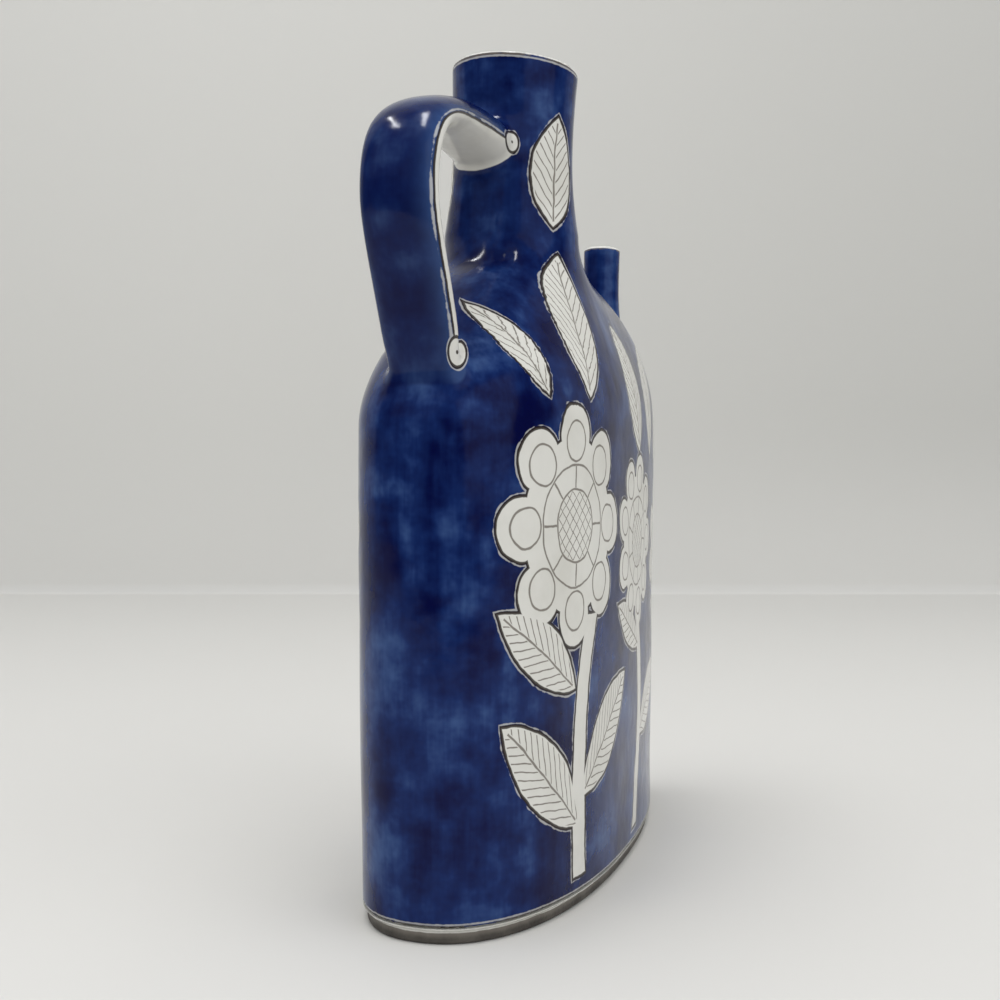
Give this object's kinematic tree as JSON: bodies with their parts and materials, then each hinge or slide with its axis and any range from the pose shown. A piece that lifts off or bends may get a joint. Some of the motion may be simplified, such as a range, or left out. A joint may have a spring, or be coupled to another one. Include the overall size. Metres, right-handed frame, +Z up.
{
  "type": "ceramic pitcher",
  "caption": "Flattened oval glazed pitcher with an offset open neck, a small pouring spout and an arched strap handle.",
  "frame": {"origin": "on the resting face, under the middle of the body's length and thickness", "axes": "+Z up; +X along the body from the handle end to the spout end; -Y is the front"},
  "size_m": [0.2785, 0.09, 0.331],
  "materials": {
    "bare_foot": "unglazed dark grey-brown clay, dull",
    "cobalt_glaze": "brushed cobalt blue under a clear gloss glaze"
  },
  "bodies": {
    "root": {"base_slab": "bare_foot", "body_wall": "cobalt_glaze", "shoulder": "cobalt_glaze", "main_neck": "cobalt_glaze", "small_spout": "cobalt_glaze", "handle_strap": "cobalt_glaze"}
  },
  "joints": []
}
